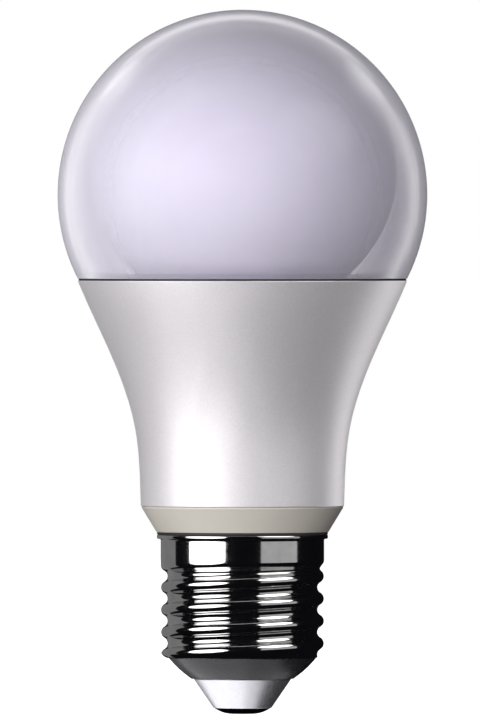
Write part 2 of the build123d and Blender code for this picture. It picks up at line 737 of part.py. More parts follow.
with BuildPart() as output_capacitor:
    with BuildSketch(Plane.XZ.offset(-board_front_y)):
        with Locations((OUTPUT_ACROSS, small_row_z)):
            Circle(OUTPUT_RADIUS)
    extrude(amount=OUTPUT_LENGTH)
    fillet(output_capacitor.faces().sort_by(Axis.Y)[0].edges(), CAN_ROUNDING)
output_capacitor.part.label = "output_capacitor"

with BuildPart() as disc_capacitor:
    disc_y = board_front_y - DISC_RADIUS - FIT
    with BuildSketch(Plane.YZ.offset(DISC_ACROSS - DISC_THICKNESS / 2)):
        with Locations((disc_y, small_row_z)):
            Circle(DISC_RADIUS)
    extrude(amount=DISC_THICKNESS)
    fillet(disc_capacitor.edges(), DISC_ROUNDING)
    for z in (small_row_z - DISC_LEG_ACROSS, small_row_z + DISC_LEG_ACROSS):
        with BuildSketch(Plane.XZ.offset(-board_front_y)):
            with Locations((DISC_ACROSS, z)):
                Circle(LEG_RADIUS)
        extrude(amount=DISC_RADIUS)
disc_capacitor.part.label = "disc_capacitor"

# ---------------------------------------------------------------- transformer
transformer_y = board_front_y - TRANSFORMER_STANDOFF - BOBBIN_DEPTH / 2
transformer_middle_z = transformer_foot_z + TRANSFORMER_HEIGHT / 2
window_height = TRANSFORMER_HEIGHT - 2 * CORE_YOKE
tube_width = CORE_LEG_WIDTH + 2 * (FIT + BOBBIN_WALL)
tube_depth = TRANSFORMER_DEPTH + 2 * (FIT + BOBBIN_WALL)
bobbin_height = window_height - 2 * FIT


def around_core(width, depth, low, high, mode=Mode.ADD):
    """A box about the transformer's middle, between two heights above that middle."""
    block(
        (-width / 2, width / 2),
        (transformer_y - depth / 2, transformer_y + depth / 2),
        (transformer_middle_z + low, transformer_middle_z + high),
        mode=mode,
    )


with BuildPart() as transformer_core:
    half = TRANSFORMER_HEIGHT / 2
    window_half = window_height / 2
    around_core(TRANSFORMER_WIDTH, TRANSFORMER_DEPTH, -half, half)
    window_width = BOBBIN_WIDTH + 2 * FIT
    around_core(window_width, TRANSFORMER_DEPTH, -window_half, window_half, mode=Mode.SUBTRACT)
    around_core(CORE_LEG_WIDTH, TRANSFORMER_DEPTH, -window_half, window_half)
transformer_core.part.label = "transformer_core"

with BuildPart() as transformer_bobbin:
    half = bobbin_height / 2
    for low in (-half, half - BOBBIN_WALL):
        around_core(BOBBIN_WIDTH, BOBBIN_DEPTH, low, low + BOBBIN_WALL)
    around_core(tube_width, tube_depth, -half, half)
    around_core(CORE_LEG_WIDTH + 2 * FIT, TRANSFORMER_DEPTH + 2 * FIT, -half, half, mode=Mode.SUBTRACT)
transformer_bobbin.part.label = "transformer_bobbin"

with BuildPart() as transformer_winding:
    half = bobbin_height / 2 - BOBBIN_WALL
    around_core(WINDING_WIDTH, WINDING_DEPTH, -half, half)
    fillet(transformer_winding.edges().filter_by(Axis.Z), BOBBIN_WALL)
    around_core(tube_width, tube_depth, -half, half, mode=Mode.SUBTRACT)
transformer_winding.part.label = "transformer_winding"

with BuildPart() as transformer_pins:
    pin_edge = bobbin_height / 2 - BOBBIN_WALL / 2
    near_y = transformer_y + BOBBIN_DEPTH / 2
    for x in (-TRANSFORMER_PIN_ACROSS, TRANSFORMER_PIN_ACROSS):
        for z in (transformer_middle_z - pin_edge, transformer_middle_z + pin_edge):
            side = BOBBIN_WALL / 2
            block((x - side, x + side), (near_y, board_front_y), (z - side, z + side))
transformer_pins.part.label = "transformer_pins"

# ---------------------------------------------------------------- choke, resistor and film capacitor
choke_y = board_back_y + CHOKE_RADIUS + FIT


def choke_disc(radius, low_z, high_z, mode=Mode.ADD):
    """A round length of the choke, upright on its own axis."""
    with BuildSketch(Plane.XY.offset(low_z)) as disc:
        with Locations((CHOKE_ACROSS, choke_y)):
            Circle(radius)
    extrude(disc.sketch, amount=high_z - low_z, mode=mode)


choke_foot_z = tail_row_z - CHOKE_LENGTH / 2
choke_top_z = tail_row_z + CHOKE_LENGTH / 2

with BuildPart() as choke_core:
    choke_disc(CHOKE_RADIUS, choke_foot_z, choke_foot_z + CHOKE_FLANGE)
    choke_disc(CHOKE_NECK_RADIUS, choke_foot_z, choke_top_z)
    choke_disc(CHOKE_RADIUS, choke_top_z - CHOKE_FLANGE, choke_top_z)
choke_core.part.label = "choke_core"

with BuildPart() as choke_winding:
    choke_disc(CHOKE_WINDING_RADIUS, choke_foot_z + CHOKE_FLANGE, choke_top_z - CHOKE_FLANGE)
    choke_disc(CHOKE_NECK_RADIUS, choke_foot_z, choke_top_z, mode=Mode.SUBTRACT)
choke_winding.part.label = "choke_winding"

resistor_y = board_back_y + RESISTOR_RADIUS + FIT
resistor_foot_z = tail_row_z - RESISTOR_LENGTH / 2
resistor_top_z = tail_row_z + RESISTOR_LENGTH / 2

with BuildPart() as fusible_resistor:
    with BuildSketch(Plane.XY.offset(resistor_foot_z)):
        with Locations((RESISTOR_ACROSS, resistor_y)):
            Circle(RESISTOR_RADIUS)
    extrude(amount=RESISTOR_LENGTH)
    fillet(fusible_resistor.edges().filter_by(GeomType.CIRCLE), RESISTOR_ROUNDING)
fusible_resistor.part.label = "fusible_resistor"

with BuildPart() as resistor_leads:
    reach = 2 * LEG_RADIUS + LEG_BEND
    for start_z, step in ((resistor_foot_z, -reach), (resistor_top_z, reach)):
        turn_z = start_z + step
        route = (
            (RESISTOR_ACROSS, resistor_y, start_z),
            (RESISTOR_ACROSS, resistor_y, turn_z),
            (RESISTOR_ACROSS, board_back_y, turn_z),
        )
        wire(route, LEG_RADIUS, LEG_BEND)
resistor_leads.part.label = "resistor_leads"

with BuildPart() as film_capacitor:
    block(
        (-FILM_WIDTH / 2, FILM_WIDTH / 2),
        (board_back_y, board_back_y + FILM_DEPTH),
        (film_foot_z, film_top_z),
    )
    fillet(film_capacitor.faces().sort_by(Axis.Y)[-1].edges(), FILM_ROUNDING)
film_capacitor.part.label = "film_capacitor"

# ---------------------------------------------------------------- chips


def chip(x, size, legs):
    """A moulded chip on the board's back face: size is its width, height and depth, legs per side."""
    width, height, depth = size
    half = width / 2
    leg_pitch = height / legs
    block(
        (x - half, x + half),
        (board_back_y + CHIP_LEG_THICKNESS, board_back_y + depth),
        (chip_row_z - height / 2, chip_row_z + height / 2),
    )
    for step in row(legs, leg_pitch):
        middle = chip_row_z + step
        block(
            (x - half - CHIP_LEG, x + half + CHIP_LEG),
            (board_back_y, board_back_y + 2 * CHIP_LEG_THICKNESS),
            (middle - leg_pitch / 4, middle + leg_pitch / 4),
        )


with BuildPart() as bridge_rectifier:
    chip(-CHIP_ACROSS, BRIDGE_SIZE, BRIDGE_LEGS)
bridge_rectifier.part.label = "bridge_rectifier"

with BuildPart() as driver_chip:
    chip(CHIP_ACROSS, DRIVER_CHIP_SIZE, DRIVER_CHIP_LEGS)
driver_chip.part.label = "driver_chip"

with BuildPart() as channel_chip:
    chip(0, CHANNEL_CHIP_SIZE, CHANNEL_CHIP_LEGS)
channel_chip.part.label = "channel_chip"

with BuildPart() as chip_passives:
    column_x = FILM_WIDTH / 2 + PASSIVE_FROM_FILM
    for x in (-column_x, column_x):
        for n in range(PASSIVE_COUNT):
            z = film_foot_z + (n + 0.5) * PASSIVE_PITCH
            block(
                (x - PASSIVE_WIDTH / 2, x + PASSIVE_WIDTH / 2),
                (board_back_y, board_back_y + PASSIVE_HEIGHT),
                (z - PASSIVE_LENGTH / 2, z + PASSIVE_LENGTH / 2),
            )
chip_passives.part.label = "chip_passives"

# ================================================================ pins, connector and radio board
with BuildPart() as connector_pins:
    side = PIN_SIDE / 2
    for x in header_places:
        block(
            (x - side, x + side),
            (board_front_y - PIN_TAIL, pin_row_y + side),
            (pin_z - side, pin_z + side),
        )
        block(
            (x - side, x + side),
            (pin_row_y - side, pin_row_y + side),
            (pin_z - side, led_board_z + CONNECTOR_HEIGHT - PIN_TAIL),
        )
connector_pins.part.label = "connector_pins"


def pin_bores(places, low, high, along):
    """Cuts square bores for pins along Y or Z, given their places and the two ends of the bore."""
    half = PIN_SIDE / 2 + FIT
    for x, other in places:
        span = (other - half, other + half)
        y_range, z_range = ((low, high), span) if along == "Y" else (span, (low, high))
        block((x - half, x + half), y_range, z_range, mode=Mode.SUBTRACT)


with BuildPart() as pin_strip:
    block(
        (-connector_half, connector_half),
        (board_back_y, board_back_y + STRIP_SIDE),
        (pin_z - STRIP_SIDE / 2, pin_z + STRIP_SIDE / 2),
    )
    pin_bores([(x, pin_z) for x in header_places], board_back_y, board_back_y + STRIP_SIDE, "Y")
pin_strip.part.label = "pin_strip"

with BuildPart() as led_connector:
    connector_top_z = led_board_z + CONNECTOR_HEIGHT
    block(
        (-connector_half, connector_half),
        (pin_row_y - CONNECTOR_DEPTH / 2, pin_row_y + CONNECTOR_DEPTH / 2),
        (led_board_z, connector_top_z),
    )
    pin_bores([(x, pin_row_y) for x in header_places], led_board_z, connector_top_z, "Z")
led_connector.part.label = "led_connector"

with BuildPart() as radio_board:
    faces = (radio_front_y, radio_back_y)
    block((-RADIO_WIDTH / 2, RADIO_WIDTH / 2), faces, (radio_foot_z, radio_top_z))
    pin_holes(radio_pin_places, radio_pin_z, *faces)
radio_board.part.label = "radio_board"

with BuildPart() as radio_strip:
    half = RADIO_PIN_COUNT * RADIO_PIN_PITCH / 2
    block(
        (-half, half),
        (radio_back_y, board_front_y),
        (radio_pin_z - RADIO_PIN_PITCH / 2, radio_pin_z + RADIO_PIN_PITCH / 2),
    )
    pin_bores([(x, radio_pin_z) for x in radio_pin_places], radio_back_y, board_front_y, "Y")
radio_strip.part.label = "radio_strip"

with BuildPart() as radio_pins:
    side = PIN_SIDE / 2
    for x in radio_pin_places:
        block(
            (x - side, x + side),
            (radio_front_y - PIN_TAIL, board_back_y + PIN_TAIL),
            (radio_pin_z - side, radio_pin_z + side),
        )
radio_pins.part.label = "radio_pins"

shield_foot_z = radio_pin_z + SHIELD_MARGIN
shield_top_z = plate_foot_z - SHIELD_MARGIN
with BuildPart() as radio_shield:
    front_y = radio_front_y - SHIELD_DEPTH
    half = SHIELD_WIDTH / 2
    block((-half, half), (front_y, radio_front_y), (shield_foot_z, shield_top_z))
    block(
        (-half + SHIELD_WALL, half - SHIELD_WALL),
        (front_y + SHIELD_WALL, radio_front_y),
        (shield_foot_z + SHIELD_WALL, shield_top_z - SHIELD_WALL),
        mode=Mode.SUBTRACT,
    )
radio_shield.part.label = "radio_shield"

with BuildPart() as radio_chip:
    half = CHIP_SIDE / 2
    middle = (shield_foot_z + shield_top_z) / 2
    faces = (radio_front_y - CHIP_THICKNESS, radio_front_y)
    block((-half, half), faces, (middle - half, middle + half))
radio_chip.part.label = "radio_chip"

with BuildPart() as radio_antenna:
    faces = (radio_front_y - ANTENNA_THICKNESS, radio_front_y)
    antenna_low = radio_top_z - PIN_TAIL - ANTENNA_HEIGHT
    antenna_high = antenna_low + ANTENNA_HEIGHT
    antenna_width = RADIO_WIDTH - 2 * PIN_TAIL
    fingers = row(ANTENNA_FINGERS, (antenna_width - ANTENNA_TRACE) / (ANTENNA_FINGERS - 1))
    trace = ANTENNA_TRACE / 2
    for x in fingers:
        block((x - trace, x + trace), faces, (antenna_low, antenna_high))
    for n, (left, right) in enumerate(zip(fingers, fingers[1:])):
        low = antenna_low if n % 2 else antenna_high - ANTENNA_TRACE
        block((left - trace, right + trace), faces, (low, low + ANTENNA_TRACE))
radio_antenna.part.label = "radio_antenna"

# ================================================================ leads to the cap
lead_low_z = board_foot_z - LEAD_DROP

with BuildPart() as live_lead:
    wire(
        (
            (LIVE_ACROSS, 0, board_foot_z),
            (LIVE_ACROSS, 0, board_foot_z - LEAD_BEND),
            (0, 0, lead_low_z),
            (0, 0, nail_tip_z),
        ),
        LEAD_RADIUS,
        LEAD_BEND,
    )
live_lead.part.label = "live_lead"

with BuildPart() as neutral_lead:
    lead_x = -shell_bore_radius + LEAD_RADIUS + FIT
    wire(
        (
            (NEUTRAL_ACROSS, 0, board_foot_z),
            (NEUTRAL_ACROSS, 0, lead_low_z),
            (lead_x, 0, lead_low_z),
            (lead_x, 0, spigot_foot_z + NEUTRAL_RISE),
        ),
        LEAD_RADIUS,
        LEAD_BEND,
    )
neutral_lead.part.label = "neutral_lead"

# ================================================================ the parts, one file each
pieces = (
    outer_globe,
    globe_seal,
    housing,
    inner_diffuser,
    board_screws,
    heat_sink,
    thermal_pad,
    led_board,
    white_led_packages,
    white_led_phosphors,
    colour_led_packages,
    colour_led_lenses,
    screw_shell,
    cap_gasket,
    cap_insulator,
    contact_cup,
    contact_nail,
    base_collar,
    driver_sleeve,
    driver_board,
    bulk_capacitor,
    capacitor_legs,
    output_capacitor,
    disc_capacitor,
    transformer_core,
    transformer_bobbin,
    transformer_winding,
    transformer_pins,
    choke_core,
    choke_winding,
    fusible_resistor,
    resistor_leads,
    film_capacitor,
    bridge_rectifier,
    driver_chip,
    channel_chip,
    chip_passives,
    connector_pins,
    pin_strip,
    led_connector,
    radio_board,
    radio_strip,
    radio_pins,
    radio_shield,
    radio_chip,
    radio_antenna,
    live_lead,
    neutral_lead,
)
os.makedirs("parts", exist_ok=True)
for piece in pieces:
    export_step(piece.part, f"parts/{piece.part.label}.step")
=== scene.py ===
"""The looks of a smart light bulb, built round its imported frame. Metres, +Z up the lamp's axis."""

import json
from math import acos, asin, cos, pi, radians, sin, sqrt, tan

import bmesh
import bpy
import numpy as np
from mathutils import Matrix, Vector


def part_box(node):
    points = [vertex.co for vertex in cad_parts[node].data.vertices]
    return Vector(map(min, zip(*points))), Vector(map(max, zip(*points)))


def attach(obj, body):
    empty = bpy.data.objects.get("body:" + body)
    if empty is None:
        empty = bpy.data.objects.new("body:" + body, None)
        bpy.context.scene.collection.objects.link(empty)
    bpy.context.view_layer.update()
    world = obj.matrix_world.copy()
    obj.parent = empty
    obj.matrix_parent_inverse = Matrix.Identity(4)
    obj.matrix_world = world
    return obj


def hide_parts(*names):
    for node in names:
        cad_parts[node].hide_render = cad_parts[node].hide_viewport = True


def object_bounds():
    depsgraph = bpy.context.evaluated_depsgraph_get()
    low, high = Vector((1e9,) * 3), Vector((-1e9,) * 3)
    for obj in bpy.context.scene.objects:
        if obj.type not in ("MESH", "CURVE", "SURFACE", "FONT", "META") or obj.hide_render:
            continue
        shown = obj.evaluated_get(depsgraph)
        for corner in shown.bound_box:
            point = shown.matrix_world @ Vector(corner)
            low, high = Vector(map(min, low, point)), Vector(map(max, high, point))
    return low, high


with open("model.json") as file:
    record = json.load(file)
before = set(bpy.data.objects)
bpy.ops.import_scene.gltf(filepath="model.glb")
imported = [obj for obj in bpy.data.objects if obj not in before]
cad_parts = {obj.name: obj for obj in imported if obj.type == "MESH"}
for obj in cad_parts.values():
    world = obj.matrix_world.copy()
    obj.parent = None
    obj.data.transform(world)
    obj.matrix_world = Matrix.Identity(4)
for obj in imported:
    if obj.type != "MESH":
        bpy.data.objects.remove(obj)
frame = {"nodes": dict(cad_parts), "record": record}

cad_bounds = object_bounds()
MM = 0.001
SEAM_ANGLE = 27  # how far below the globe's equator it is cut, in degrees

# ---------------------------------------------------------------- sizes read from the frame
globe_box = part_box("outer_globe")
housing_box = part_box("housing")
seal_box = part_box("globe_seal")
dome_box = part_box("inner_diffuser")
collar_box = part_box("base_collar")
gasket_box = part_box("cap_gasket")
shell_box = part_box("screw_shell")
insulator_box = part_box("cap_insulator")
cup_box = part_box("contact_cup")
nail_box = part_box("contact_nail")
board_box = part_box("led_board")
sleeve_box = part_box("driver_sleeve")

globe_radius = (globe_box[1][2] - seal_box[1][2]) / (1 + sin(radians(SEAM_ANGLE)))
seam_z = seal_box[1][2]
rim_z = seal_box[0][2]
neck_z = housing_box[0][2]
globe_centre_z = globe_box[1][2] - globe_radius
seam_radius = sqrt(globe_radius**2 - (globe_centre_z - seam_z) ** 2)
collar_foot_z = gasket_box[1][2]
flange_top_z = gasket_box[0][2]
shell_foot_z = shell_box[0][2]
contact_top_z = cup_box[1][2]
contact_foot_z = cup_box[0][2]

# ---------------------------------------------------------------- sizes the frame's boxes don't give
GLOBE_WALL = 1.6 * MM
GLOBE_EASE = 0.01 * MM  # keeps the modelled sphere inside the faceted CAD one
SNAP_BELOW_SEAM = 1.1 * MM
SNAP_SIZE = 0.3 * MM  # the bead's half height and its depth
HOUSING_WALL = 1.6 * MM
NECK_RADIUS = 16.5 * MM
SPIGOT_DEPTH = 1.8 * MM
SPIGOT_WALL = 1.2 * MM
FIT = 0.1 * MM
DOME_RADIUS = 25.0 * MM
DOME_WALL = 1.0 * MM
DOME_LIFT = 3.8 * MM
DOME_FOOT = 1.2 * MM
EAR_RADIUS = 2.9 * MM
SCREW_RADIUS = 1.35 * MM
SCREW_HEAD_RADIUS = 2.4 * MM
COLLAR_FOOT_RADIUS = 13.95 * MM
THREAD_PITCH = 3.629 * MM
CREST_RADIUS = 13.2 * MM
ROOT_RADIUS = 12.15 * MM
CREST_AT_RIGHT = 18.7 * MM  # height of one crest on the +X side
SKIRT_RADIUS = 13.25 * MM
SKIRT_FOOT_Z = 23.8 * MM
FLANGE_FOOT_Z = 28.4 * MM
FLANGE_RADIUS = 13.87 * MM
SHELL_WALL = 0.35 * MM
SHELL_TOP_FOOT_Z = 26.5 * MM  # where the smooth top of the shell is begun
BORE_RADIUS = 1.25 * MM  # round the nail's shank
SHANK_RADIUS = 1.15 * MM
CONE_FOOT_RADIUS = 8.3 * MM
CONE_BULGE = 0.13 * MM
CONE_STEPS = 12
PLUG_RADIUS = 11.68 * MM
DISH_DEPTH = 1.6 * MM
CUP_WALL = 0.45 * MM
NOSE_RADIUS = 1.6 * MM
SPIGOT_BORE = 10.5 * MM  # of the collar, down in the cap

SEGMENTS = 192
CORNER_STEPS = 5


# ================================================================ mesh tools
def arc(centre, radius, start, end, steps):
    """Points of an arc in the (radius, height) plane, angles in degrees."""
    turns = [radians(start + (end - start) * n / steps) for n in range(steps + 1)]
    return [(centre[0] + radius * cos(t), centre[1] + radius * sin(t)) for t in turns]


def rounded(outline, radius, sharpest=20):
    """A closed outline with its corners rounded, each between two points that keep its flats flat."""
    result = []
    count = len(outline)
    for n, point in enumerate(outline):
        here = Vector(point)
        back = Vector(outline[n - 1]) - here
        ahead = Vector(outline[(n + 1) % count]) - here
        turn = pi - back.angle(ahead)
        if point[0] < 1e-7 or turn < radians(sharpest):
            result.append(tuple(here))
            continue
        cut = min(radius * tan(turn / 2), back.length * 0.45, ahead.length * 0.45)
        first = here + back.normalized() * cut
        last = here + ahead.normalized() * cut
        result.append(tuple(here + back.normalized() * cut * 1.1))
        for step in range(CORNER_STEPS + 1):
            t = step / CORNER_STEPS
            result.append(tuple(first * (1 - t) ** 2 + here * 2 * t * (1 - t) + last * t**2))
        result.append(tuple(here + ahead.normalized() * cut * 1.1))
    return result


def smooth_curve(knots, start_slope, end_slope, steps):
    """A smooth curve of radius over height through a few knots, with its slope at both ends."""
    heights = np.array([z for _, z in knots])
    radii = np.array([r for r, _ in knots])
    gaps = np.diff(heights)
    rises = np.diff(radii) / gaps
    count = len(knots)
    grid = np.eye(count)
    wanted = np.zeros(count)
    wanted[0], wanted[-1] = start_slope, end_slope
    for n in range(1, count - 1):
        grid[n, n - 1 : n + 2] = gaps[n], 2 * (gaps[n - 1] + gaps[n]), gaps[n - 1]
        wanted[n] = 3 * (gaps[n] * rises[n - 1] + gaps[n - 1] * rises[n])
    slopes = np.linalg.solve(grid, wanted)
    points = []
    for z in np.linspace(heights[0], heights[-1], steps + 1):
        n = min(int(np.searchsorted(heights, z, side="right")) - 1, count - 2)
        t = (z - heights[n]) / gaps[n]
        r = (
            radii[n] * (1 + 2 * t) * (1 - t) ** 2
            + radii[n + 1] * t * t * (3 - 2 * t)
            + gaps[n] * (slopes[n] * t * (1 - t) ** 2 - slopes[n + 1] * t * t * (1 - t))
        )
        points.append((float(r), float(z)))
    return points


def finish_mesh(name, verts, faces, material, sharp=38):
    """Makes an object of a mesh, smooth-shaded but for its sharp edges."""
    mesh = bpy.data.meshes.new(name)
    mesh.from_pydata(verts, [], faces)
    work = bmesh.new()
    work.from_mesh(mesh)
    bmesh.ops.remove_doubles(work, verts=work.verts, dist=1e-8)
    bmesh.ops.recalc_face_normals(work, faces=work.faces)
    work.to_mesh(mesh)
    work.free()
    mesh.polygons.foreach_set("use_smooth", [True] * len(mesh.polygons))
    mesh.set_sharp_from_angle(angle=radians(sharp))
    mesh.materials.append(material)
    piece = bpy.data.objects.new(name, mesh)
    bpy.context.scene.collection.objects.link(piece)
    return piece


def turned(outline, centre=(0, 0), segments=SEGMENTS):
    """Vertices and faces of a closed outline turned about an upright axis."""
    verts, rings = [], []
    for r, z in outline:
        if r < 1e-7:
            rings.append([len(verts)] * segments)
            verts.append((centre[0], centre[1], z))
            continue
        rings.append(list(range(len(verts), len(verts) + segments)))
        for n in range(segments):
            turn = 2 * pi * n / segments
            verts.append((centre[0] + r * cos(turn), centre[1] + r * sin(turn), z))
    faces = []
    for low, high in zip(rings, rings[1:] + rings[:1]):
        for n in range(segments):
            m = (n + 1) % segments
            corners = list(dict.fromkeys((low[n], low[m], high[m], high[n])))
            if len(corners) > 2:
                faces.append(corners)
    return verts, faces


def lathe(name, outline, material, slot, replaces, corner=0.12 * MM):
    """A turned piece with rounded corners that stands for a node."""
    verts, faces = turned(rounded(outline, corner))
    piece = finish_mesh(name, verts, faces, material)
    place(piece, slot, replaces)
    return piece


def place(piece, slot, *nodes):
    """Puts a new piece on the one body, in place of its nodes; its slot is not used."""
    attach(piece, "root")
    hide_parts(*nodes)


# ================================================================ material tools
class Shader:
    """A node material under construction, with one Principled shader."""

    def __init__(self, name, **values):
        self.material = bpy.data.materials.new(name)
        self.material.use_nodes = True
        self.tree = self.material.node_tree
        self.nodes = self.tree.nodes
        self.body = self.nodes["Principled BSDF"]
        self.output = self.nodes["Material Output"]
        for socket, value in values.items():
            self.body.inputs[socket.replace("_", " ")].default_value = value
        self.where = self.nodes.new("ShaderNodeTexCoord").outputs["Object"]

    def link(self, source, target):
        self.tree.links.new(source, target)

    def stretched(self, x, y, z):
        """Coordinates scaled differently along each axis, for grain that runs one way."""
        node = self.nodes.new("ShaderNodeMapping")
        node.inputs["Scale"].default_value = (x, y, z)
        self.link(self.where, node.inputs["Vector"])
        return node.outputs["Vector"]

    def noise(self, size, detail=3.0, roughness=0.55, where=None):
        """Noise whose features are about that size, in metres."""
        node = self.nodes.new("ShaderNodeTexNoise")
        node.inputs["Scale"].default_value = 1 / size
        node.inputs["Detail"].default_value = detail
        node.inputs["Roughness"].default_value = roughness
        self.link(where or self.where, node.inputs["Vector"])
        return node.outputs["Fac"]

    def cells(self, size):
        """Random cells about that size, for flakes."""
        node = self.nodes.new("ShaderNodeTexVoronoi")
        node.inputs["Scale"].default_value = 1 / size
        self.link(self.where, node.inputs["Vector"])
        return node.outputs["Color"]

    def spread(self, source, low, high, start=0.3, end=0.7):
        """Maps a value from start..end to low..high."""
        node = self.nodes.new("ShaderNodeMapRange")
        for socket, value in zip(("From Min", "From Max", "To Min", "To Max"), (start, end, low, high)):
            node.inputs[socket].default_value = value
        self.link(source, node.inputs["Value"])
        return node.outputs["Result"]

    def blend(self, factor, first, second):
        """A colour between two colours."""
        node = self.nodes.new("ShaderNodeMix")
        node.data_type = "RGBA"
        node.inputs["A"].default_value = (*first, 1)
        node.inputs["B"].default_value = (*second, 1)
        self.link(factor, node.inputs["Factor"])
        return node.outputs["Result"]

    def relief(self, height, depth, strength=1.0):
        """Bump of a height map, its full depth in metres."""
        node = self.nodes.new("ShaderNodeBump")
        node.inputs["Strength"].default_value = strength
        node.inputs["Distance"].default_value = depth
        self.link(height, node.inputs["Height"])
        self.link(node.outputs["Normal"], self.body.inputs["Normal"])

    def colour(self, source):
        self.link(source, self.body.inputs["Base Color"])

    def gloss(self, source):
        self.link(source, self.body.inputs["Roughness"])


def shade(colour, factor):
    """A colour made lighter or darker."""
    return tuple(min(1.0, part * factor) for part in colour)


def moulded(name, colour, rough=0.4, grain=0.25 * MM, depth=0.01 * MM, **values):
    """Moulded plastic: a fine spark-eroded grain with slow colour drift."""
    s = Shader(name, **values)
    s.colour(s.blend(s.noise(6 * MM), shade(colour, 0.93), shade(colour, 1.06)))
    fine = s.noise(grain, detail=4)
    s.gloss(s.spread(fine, rough * 0.85, rough * 1.2))
    s.relief(fine, depth)
    return s.material


def plated(name, colour, rough=0.2, grain=0.15 * MM, depth=0.002 * MM, stretch=(1, 1, 1), **values):
    """Metal with fine drawing marks and slightly uneven polish."""
    s = Shader(name, Metallic=1.0, **values)
    marks = s.noise(grain, detail=4, where=s.stretched(*stretch))
    s.colour(s.blend(s.noise(2.5 * MM), shade(colour, 0.92), shade(colour, 1.05)))
    s.gloss(s.spread(marks, rough * 0.7, rough * 1.35))
    s.relief(marks, depth)
    return s.material


def circuit(name, mask, copper, pitch=1.1 * MM):
    """A circuit board: solder mask with copper tracks showing through it."""
    s = Shader(name, Coat_Weight=0.2)
    tracks = s.nodes.new("ShaderNodeTexBrick")
    tracks.inputs["Scale"].default_value = 1 / pitch
    tracks.inputs["Mortar Size"].default_value = 0.04
    tracks.inputs["Color1"].default_value = (*mask, 1)
    tracks.inputs["Color2"].default_value = (*shade(mask, 1.35), 1)
    tracks.inputs["Mortar"].default_value = (*copper, 1)
    turned_where = s.nodes.new("ShaderNodeMapping")
    turned_where.inputs["Rotation"].default_value = (pi / 2, 0, 0)
    s.link(s.where, turned_where.inputs["Vector"])
    s.link(turned_where.outputs["Vector"], tracks.inputs["Vector"])
    s.colour(tracks.outputs["Color"])
    s.gloss(s.spread(s.noise(0.4 * MM), 0.28, 0.45))
    s.relief(tracks.outputs["Fac"], 0.03 * MM)
    return s.material


def wound(name, colour, pitch, depth=0.05 * MM, rough=0.3, metallic=0.0):
    """Turns of wire or tape round an upright axis: fine ribs one above the other, with painted shade
    darkening the grooves between turns.
    """
    s = Shader(name, Metallic=metallic)
    ribs = s.nodes.new("ShaderNodeTexWave")
    ribs.bands_direction = "Z"
    ribs.inputs["Scale"].default_value = 1 / pitch / 3.1416
    ribs.inputs["Distortion"].default_value = 0.3
    s.link(s.where, ribs.inputs["Vector"])
    # painted shade: the colour darkens down into each groove between turns and is lighter on the crests
    s.colour(s.blend(ribs.outputs["Fac"], shade(colour, 0.55), shade(colour, 1.1)))
    s.gloss(s.spread(s.noise(0.5 * MM), rough * 0.8, rough * 1.2))
    s.relief(ribs.outputs["Fac"], depth)
    return s.material


# ================================================================ the materials that show
def clear_globe():
    """Tinted clear plastic: each face passes most of the light, and glances off more at its rim."""
    s = Shader("globe_clear", Roughness=0.22, IOR=1.49, Base_Color=(0.74, 0.72, 0.80, 1))
    s.relief(s.noise(9 * MM, detail=2), 0.05 * MM)
    facing = s.nodes.new("ShaderNodeLayerWeight")
    facing.inputs["Blend"].default_value = 0.35
    clear = s.nodes.new("ShaderNodeBsdfTransparent")
    tint = s.blend(s.noise(18 * MM, detail=1), (0.95, 0.94, 0.965), (0.965, 0.955, 0.98))
    s.link(tint, clear.inputs["Color"])
    mix = s.nodes.new("ShaderNodeMixShader")
    s.link(s.spread(facing.outputs["Facing"], 0.04, 0.62, 0.05, 0.48), mix.inputs["Fac"])
    s.link(clear.outputs["BSDF"], mix.inputs[1])
    s.link(s.body.outputs["BSDF"], mix.inputs[2])
    s.link(mix.outputs["Shader"], s.output.inputs["Surface"])
    return s.material


def opal_dome():
    """Opal diffuser: milky, faintly lavender, with a satin face."""
    s = Shader("diffuser_opal", IOR=1.49, Specular_IOR_Level=0.12)
    s.body.inputs["Subsurface Weight"].default_value = 0.25
    s.body.inputs["Subsurface Radius"].default_value = (1.0, 0.9, 1.0)
    s.body.inputs["Subsurface Scale"].default_value = 1.2 * MM
    s.colour(s.blend(s.noise(14 * MM, detail=2), (0.78, 0.765, 0.825), (0.82, 0.805, 0.86)))
    fine = s.noise(0.5 * MM)
    s.gloss(s.spread(fine, 0.42, 0.55))
    s.relief(fine, 0.006 * MM)
    return s.material


def pearl_housing():
    """Pearl lacquer: fine flakes, satin and partly metallic."""
    s = Shader("housing_pearl", Metallic=0.62, IOR=1.5)
    flakes = s.cells(0.16 * MM)
    tone = s.spread(flakes, 0.0, 1.0, 0.0, 1.0)
    s.colour(s.blend(tone, (0.76, 0.73, 0.755), (0.83, 0.80, 0.825)))
    s.gloss(s.spread(s.noise(0.6 * MM), 0.47, 0.53))
    s.relief(tone, 0.004 * MM)
    return s.material


def nickel_shell():
    """Bright nickel plate with fine rolling marks round the shell and slight tarnish."""
    s = Shader("shell_nickel", Metallic=1.0)
    marks = s.noise(0.35 * MM, detail=5, where=s.stretched(0.35, 0.35, 2.2))
    tarnish = s.noise(3.5 * MM, detail=3)
    s.colour(s.blend(s.spread(tarnish, 0.0, 1.0), (0.66, 0.655, 0.65), (0.80, 0.795, 0.79)))
    s.gloss(s.spread(marks, 0.055, 0.12))
    s.relief(marks, 0.0012 * MM)
    return s.material


def black_glass():
    """Black vitreous insulator with a few faint flow marks."""
    s = Shader("insulator_black", IOR=1.5)
    flow = s.noise(2.2 * MM, detail=4, where=s.stretched(1, 1, 3))
    s.colour(s.blend(flow, (0.012, 0.012, 0.016), (0.03, 0.03, 0.036)))
    s.gloss(s.spread(flow, 0.22, 0.34))
    s.relief(flow, 0.02 * MM)
    return s.material


